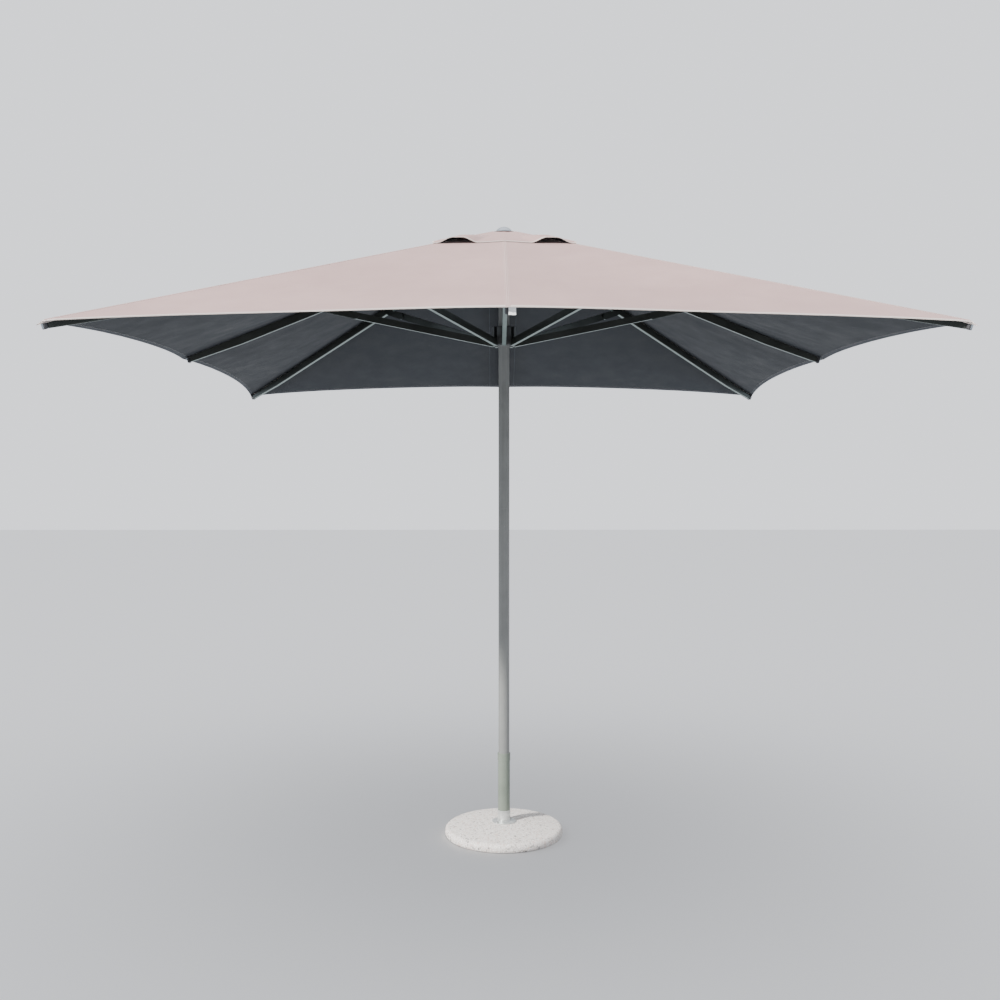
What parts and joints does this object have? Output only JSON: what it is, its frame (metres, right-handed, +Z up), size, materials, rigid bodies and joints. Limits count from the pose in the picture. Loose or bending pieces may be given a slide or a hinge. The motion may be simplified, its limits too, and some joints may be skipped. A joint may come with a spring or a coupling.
{
  "type": "patio umbrella with base",
  "caption": "Square market umbrella with a folding ribbed frame, vented fabric canopy and straight pole, standing in a round concrete base.",
  "frame": {"origin": "on the ground under the pole, at the centre of the concrete disc's underside", "axes": "+Z up along the pole, -Y towards the side of the canopy that is seen face on, +X to the right of that view"},
  "size_m": [3.0016, 3.0016, 2.7823],
  "materials": {
    "canopy_fabric": "matte woven polyester",
    "frame_paint": "dark satin powder coat",
    "pole_paint": "grey satin powder coat",
    "base_tube_paint": "pale grey-green satin paint",
    "galvanised_steel": "galvanised, dull",
    "concrete": "washed exposed aggregate concrete",
    "black_plastic": "moulded, satin",
    "chrome": "polished",
    "zinc": "zinc plated",
    "white_tag": "plain woven tag"
  },
  "bodies": {
    "base": {"base_disc": "concrete", "base_socket": "galvanised_steel", "base_bolt_1": "zinc", "base_bolt_2": "zinc", "base_tube": "base_tube_paint", "clamp_boss": "zinc"},
    "clamp_screw": {"clamp_screw": "black_plastic"},
    "pole_bush": {"pole_bush": "base_tube_paint"},
    "pole": {"pole_lower": "pole_paint", "pole_upper": "pole_paint", "pole_joint_sleeve": "zinc", "pole_foot_plug": "black_plastic", "crown_hub": "frame_paint", "finial_stud": "zinc", "finial_disc": "black_plastic", "finial_dome": "chrome"},
    "snap_button": {"snap_button": "zinc"},
    "runner": {"runner": "black_plastic"},
    "runner_catch": {"runner_catch": "chrome"},
    "rib_1": {"rib_1": "frame_paint", "rib_1_end_cap": "black_plastic"},
    "strut_1": {"strut_1": "frame_paint"},
    "rib_2": {"rib_2": "frame_paint", "rib_2_end_cap": "black_plastic"},
    "strut_2": {"strut_2": "frame_paint"},
    "rib_3": {"rib_3": "frame_paint", "rib_3_end_cap": "black_plastic"},
    "strut_3": {"strut_3": "frame_paint"},
    "rib_4": {"rib_4": "frame_paint", "rib_4_end_cap": "black_plastic"},
    "strut_4": {"strut_4": "frame_paint"},
    "rib_5": {"rib_5": "frame_paint", "rib_5_end_cap": "black_plastic"},
    "strut_5": {"strut_5": "frame_paint"},
    "rib_6": {"rib_6": "frame_paint", "rib_6_end_cap": "black_plastic"},
    "strut_6": {"strut_6": "frame_paint"},
    "rib_7": {"rib_7": "frame_paint", "rib_7_end_cap": "black_plastic"},
    "strut_7": {"strut_7": "frame_paint"},
    "rib_8": {"rib_8": "frame_paint", "rib_8_end_cap": "black_plastic"},
    "strut_8": {"strut_8": "frame_paint"},
    "canopy_1_left": {"canopy_1_left": "canopy_fabric"},
    "canopy_1_right": {"canopy_1_right": "canopy_fabric"},
    "canopy_2_left": {"canopy_2_left": "canopy_fabric"},
    "canopy_2_right": {"canopy_2_right": "canopy_fabric"},
    "canopy_3_left": {"canopy_3_left": "canopy_fabric"},
    "canopy_3_right": {"canopy_3_right": "canopy_fabric"},
    "canopy_4_left": {"canopy_4_left": "canopy_fabric"},
    "canopy_4_right": {"canopy_4_right": "canopy_fabric"},
    "canopy_5_left": {"canopy_5_left": "canopy_fabric"},
    "canopy_5_right": {"canopy_5_right": "canopy_fabric"},
    "canopy_6_left": {"canopy_6_left": "canopy_fabric"},
    "canopy_6_right": {"canopy_6_right": "canopy_fabric"},
    "canopy_7_left": {"canopy_7_left": "canopy_fabric", "care_tag": "white_tag"},
    "canopy_7_right": {"canopy_7_right": "canopy_fabric"},
    "canopy_8_left": {"canopy_8_left": "canopy_fabric"},
    "canopy_8_right": {"canopy_8_right": "canopy_fabric"}
  },
  "joints": [
    {"name": "clamp_screw_turn", "type": "hinge", "parent": "base", "child": "clamp_screw", "pos_m": [0, 0.0275, 0.3], "axis": [0, 1, 0], "range_deg": [0, 720]},
    {"name": "pole_swivel", "type": "hinge", "parent": "base", "child": "pole_bush", "pos_m": [0, 0, 0.337], "axis": [0, 0, 1], "continuous": true},
    {"name": "pole_lift", "type": "slide", "parent": "pole_bush", "child": "pole", "axis": [0, 0, 1], "range_m": [0, 0.25]},
    {"name": "snap_button_press", "type": "slide", "parent": "pole", "child": "snap_button", "axis": [-1, 0, 0], "range_m": [0, 0.005], "stiffness_N_per_m": 800, "springref_m": -0.001},
    {"name": "runner_catch_pull", "type": "slide", "parent": "runner", "child": "runner_catch", "axis": [-0.3827, 0.9239, 0], "range_m": [0, 0.004], "stiffness_N_per_m": 800, "springref_m": -0.001},
    {"name": "rib_1_fold", "type": "hinge", "parent": "pole", "child": "rib_1", "pos_m": [0.05, 0, 2.73127], "axis": [0, 1, 0], "range_deg": [-1, 61.1]},
    {"name": "canopy_fold", "type": "hinge", "parent": "pole", "child": "rib_2", "pos_m": [0.03535, 0.03535, 2.73411], "axis": [-0.7071, 0.7071, 0], "range_deg": [0, 65.15]},
    {"name": "rib_3_fold", "type": "hinge", "parent": "pole", "child": "rib_3", "pos_m": [0, 0.05, 2.73127], "axis": [-1, 0, 0], "range_deg": [-1, 61.1]},
    {"name": "rib_4_fold", "type": "hinge", "parent": "pole", "child": "rib_4", "pos_m": [-0.03535, 0.03535, 2.73411], "axis": [-0.7071, -0.7071, 0], "range_deg": [-1, 66.16]},
    {"name": "rib_5_fold", "type": "hinge", "parent": "pole", "child": "rib_5", "pos_m": [-0.05, 0, 2.73127], "axis": [0, -1, 0], "range_deg": [-1, 61.1]},
    {"name": "rib_6_fold", "type": "hinge", "parent": "pole", "child": "rib_6", "pos_m": [-0.03535, -0.03535, 2.73411], "axis": [0.7071, -0.7071, 0], "range_deg": [-1, 66.16]},
    {"name": "rib_7_fold", "type": "hinge", "parent": "pole", "child": "rib_7", "pos_m": [0, -0.05, 2.73127], "axis": [1, 0, 0], "range_deg": [-1, 61.1]},
    {"name": "rib_8_fold", "type": "hinge", "parent": "pole", "child": "rib_8", "pos_m": [0.03535, -0.03535, 2.73411], "axis": [0.7071, 0.7071, 0], "range_deg": [-1, 66.16]},
    {"name": "strut_2_pin", "type": "hinge", "parent": "rib_2", "child": "strut_2", "pos_m": [0.6044, 0.6044, 2.49055], "axis": [-0.7071, 0.7071, 0], "range_deg": [-131.32, 1]},
    {"name": "runner_travel", "type": "hinge", "parent": "strut_2", "child": "runner", "pos_m": [0.03535, 0.03535, 2.247], "axis": [-0.7071, 0.7071, 0], "range_deg": [-1, 66.16]},
    {"name": "strut_1_pin", "type": "hinge", "parent": "runner", "child": "strut_1", "pos_m": [0.05, 0, 2.247], "axis": [0, 1, 0], "range_deg": [-71.08, 1]},
    {"name": "strut_3_pin", "type": "hinge", "parent": "runner", "child": "strut_3", "pos_m": [0, 0.05, 2.247], "axis": [-1, 0, 0], "range_deg": [-71.08, 1]},
    {"name": "strut_4_pin", "type": "hinge", "parent": "runner", "child": "strut_4", "pos_m": [-0.03535, 0.03535, 2.247], "axis": [-0.7071, -0.7071, 0], "range_deg": [-66.16, 1]},
    {"name": "strut_5_pin", "type": "hinge", "parent": "runner", "child": "strut_5", "pos_m": [-0.05, 0, 2.247], "axis": [0, -1, 0], "range_deg": [-71.08, 1]},
    {"name": "strut_6_pin", "type": "hinge", "parent": "runner", "child": "strut_6", "pos_m": [-0.03535, -0.03535, 2.247], "axis": [0.7071, -0.7071, 0], "range_deg": [-66.16, 1]},
    {"name": "strut_7_pin", "type": "hinge", "parent": "runner", "child": "strut_7", "pos_m": [0, -0.05, 2.247], "axis": [1, 0, 0], "range_deg": [-71.08, 1]},
    {"name": "strut_8_pin", "type": "hinge", "parent": "runner", "child": "strut_8", "pos_m": [0.03535, -0.03535, 2.247], "axis": [0.7071, 0.7071, 0], "range_deg": [-66.16, 1]},
    {"name": "canopy_1_left_fold", "type": "hinge", "parent": "rib_1", "child": "canopy_1_left", "pos_m": [0.09278, 0, 2.7297], "axis": [0.9278, 0, -0.373], "range_deg": [-1, 46.95], "deforming": ["canopy_1_left"]},
    {"name": "canopy_1_right_fold", "type": "hinge", "parent": "rib_1", "child": "canopy_1_right", "pos_m": [0.09278, 0, 2.7297], "axis": [0.9278, 0, -0.373], "range_deg": [-46.95, 1], "deforming": ["canopy_1_right"]},
    {"name": "canopy_2_left_fold", "type": "hinge", "parent": "rib_2", "child": "canopy_2_left", "pos_m": [0.06768, 0.06768, 2.73803], "axis": [0.6768, 0.6768, -0.2897], "range_deg": [-1, 58.07], "deforming": ["canopy_2_left"]},
    {"name": "canopy_2_right_fold", "type": "hinge", "parent": "rib_2", "child": "canopy_2_right", "pos_m": [0.06768, 0.06768, 2.73803], "axis": [0.6768, 0.6768, -0.2897], "range_deg": [-58.07, 1], "deforming": ["canopy_2_right"]},
    {"name": "canopy_3_left_fold", "type": "hinge", "parent": "rib_3", "child": "canopy_3_left", "pos_m": [0, 0.09278, 2.7297], "axis": [0, 0.9278, -0.373], "range_deg": [-1, 46.95], "deforming": ["canopy_3_left"]},
    {"name": "canopy_3_right_fold", "type": "hinge", "parent": "rib_3", "child": "canopy_3_right", "pos_m": [0, 0.09278, 2.7297], "axis": [0, 0.9278, -0.373], "range_deg": [-46.95, 1], "deforming": ["canopy_3_right"]},
    {"name": "canopy_4_left_fold", "type": "hinge", "parent": "rib_4", "child": "canopy_4_left", "pos_m": [-0.06768, 0.06768, 2.73803], "axis": [-0.6768, 0.6768, -0.2897], "range_deg": [-1, 58.07], "deforming": ["canopy_4_left"]},
    {"name": "canopy_4_right_fold", "type": "hinge", "parent": "rib_4", "child": "canopy_4_right", "pos_m": [-0.06768, 0.06768, 2.73803], "axis": [-0.6768, 0.6768, -0.2897], "range_deg": [-58.07, 1], "deforming": ["canopy_4_right"]},
    {"name": "canopy_5_left_fold", "type": "hinge", "parent": "rib_5", "child": "canopy_5_left", "pos_m": [-0.09278, 0, 2.7297], "axis": [-0.9278, 0, -0.373], "range_deg": [-1, 46.95], "deforming": ["canopy_5_left"]},
    {"name": "canopy_5_right_fold", "type": "hinge", "parent": "rib_5", "child": "canopy_5_right", "pos_m": [-0.09278, 0, 2.7297], "axis": [-0.9278, 0, -0.373], "range_deg": [-46.95, 1], "deforming": ["canopy_5_right"]},
    {"name": "canopy_6_left_fold", "type": "hinge", "parent": "rib_6", "child": "canopy_6_left", "pos_m": [-0.06768, -0.06768, 2.73803], "axis": [-0.6768, -0.6768, -0.2897], "range_deg": [-1, 58.07], "deforming": ["canopy_6_left"]},
    {"name": "canopy_6_right_fold", "type": "hinge", "parent": "rib_6", "child": "canopy_6_right", "pos_m": [-0.06768, -0.06768, 2.73803], "axis": [-0.6768, -0.6768, -0.2897], "range_deg": [-58.07, 1], "deforming": ["canopy_6_right"]},
    {"name": "canopy_7_left_fold", "type": "hinge", "parent": "rib_7", "child": "canopy_7_left", "pos_m": [0, -0.09278, 2.7297], "axis": [0, -0.9278, -0.373], "range_deg": [-1, 46.95], "deforming": ["canopy_7_left"]},
    {"name": "canopy_7_right_fold", "type": "hinge", "parent": "rib_7", "child": "canopy_7_right", "pos_m": [0, -0.09278, 2.7297], "axis": [0, -0.9278, -0.373], "range_deg": [-46.95, 1], "deforming": ["canopy_7_right"]},
    {"name": "canopy_8_left_fold", "type": "hinge", "parent": "rib_8", "child": "canopy_8_left", "pos_m": [0.06768, -0.06768, 2.73803], "axis": [0.6768, -0.6768, -0.2897], "range_deg": [-1, 58.07], "deforming": ["canopy_8_left"]},
    {"name": "canopy_8_right_fold", "type": "hinge", "parent": "rib_8", "child": "canopy_8_right", "pos_m": [0.06768, -0.06768, 2.73803], "axis": [0.6768, -0.6768, -0.2897], "range_deg": [-58.07, 1], "deforming": ["canopy_8_right"]}
  ],
  "couplings": [
    {"joint": "rib_1_fold", "follows": "canopy_fold", "ratio": 0.92228},
    {"joint": "rib_3_fold", "follows": "canopy_fold", "ratio": 0.92228},
    {"joint": "rib_4_fold", "follows": "canopy_fold", "ratio": 1},
    {"joint": "rib_5_fold", "follows": "canopy_fold", "ratio": 0.92228},
    {"joint": "rib_6_fold", "follows": "canopy_fold", "ratio": 1},
    {"joint": "rib_7_fold", "follows": "canopy_fold", "ratio": 0.92228},
    {"joint": "rib_8_fold", "follows": "canopy_fold", "ratio": 1},
    {"joint": "strut_2_pin", "follows": "canopy_fold", "ratio": -2},
    {"joint": "runner_travel", "follows": "canopy_fold", "ratio": 1},
    {"joint": "strut_1_pin", "follows": "canopy_fold", "ratio": -1.0754},
    {"joint": "strut_3_pin", "follows": "canopy_fold", "ratio": -1.0754},
    {"joint": "strut_4_pin", "follows": "canopy_fold", "ratio": -1},
    {"joint": "strut_5_pin", "follows": "canopy_fold", "ratio": -1.0754},
    {"joint": "strut_6_pin", "follows": "canopy_fold", "ratio": -1},
    {"joint": "strut_7_pin", "follows": "canopy_fold", "ratio": -1.0754},
    {"joint": "strut_8_pin", "follows": "canopy_fold", "ratio": -1},
    {"joint": "canopy_1_left_fold", "follows": "canopy_fold", "ratio": 0.70515},
    {"joint": "canopy_1_right_fold", "follows": "canopy_fold", "ratio": -0.70515},
    {"joint": "canopy_2_left_fold", "follows": "canopy_fold", "ratio": 0.87578},
    {"joint": "canopy_2_right_fold", "follows": "canopy_fold", "ratio": -0.87578},
    {"joint": "canopy_3_left_fold", "follows": "canopy_fold", "ratio": 0.70515},
    {"joint": "canopy_3_right_fold", "follows": "canopy_fold", "ratio": -0.70515},
    {"joint": "canopy_4_left_fold", "follows": "canopy_fold", "ratio": 0.87578},
    {"joint": "canopy_4_right_fold", "follows": "canopy_fold", "ratio": -0.87578},
    {"joint": "canopy_5_left_fold", "follows": "canopy_fold", "ratio": 0.70515},
    {"joint": "canopy_5_right_fold", "follows": "canopy_fold", "ratio": -0.70515},
    {"joint": "canopy_6_left_fold", "follows": "canopy_fold", "ratio": 0.87578},
    {"joint": "canopy_6_right_fold", "follows": "canopy_fold", "ratio": -0.87578},
    {"joint": "canopy_7_left_fold", "follows": "canopy_fold", "ratio": 0.70515},
    {"joint": "canopy_7_right_fold", "follows": "canopy_fold", "ratio": -0.70515},
    {"joint": "canopy_8_left_fold", "follows": "canopy_fold", "ratio": 0.87578},
    {"joint": "canopy_8_right_fold", "follows": "canopy_fold", "ratio": -0.87578}
  ]
}
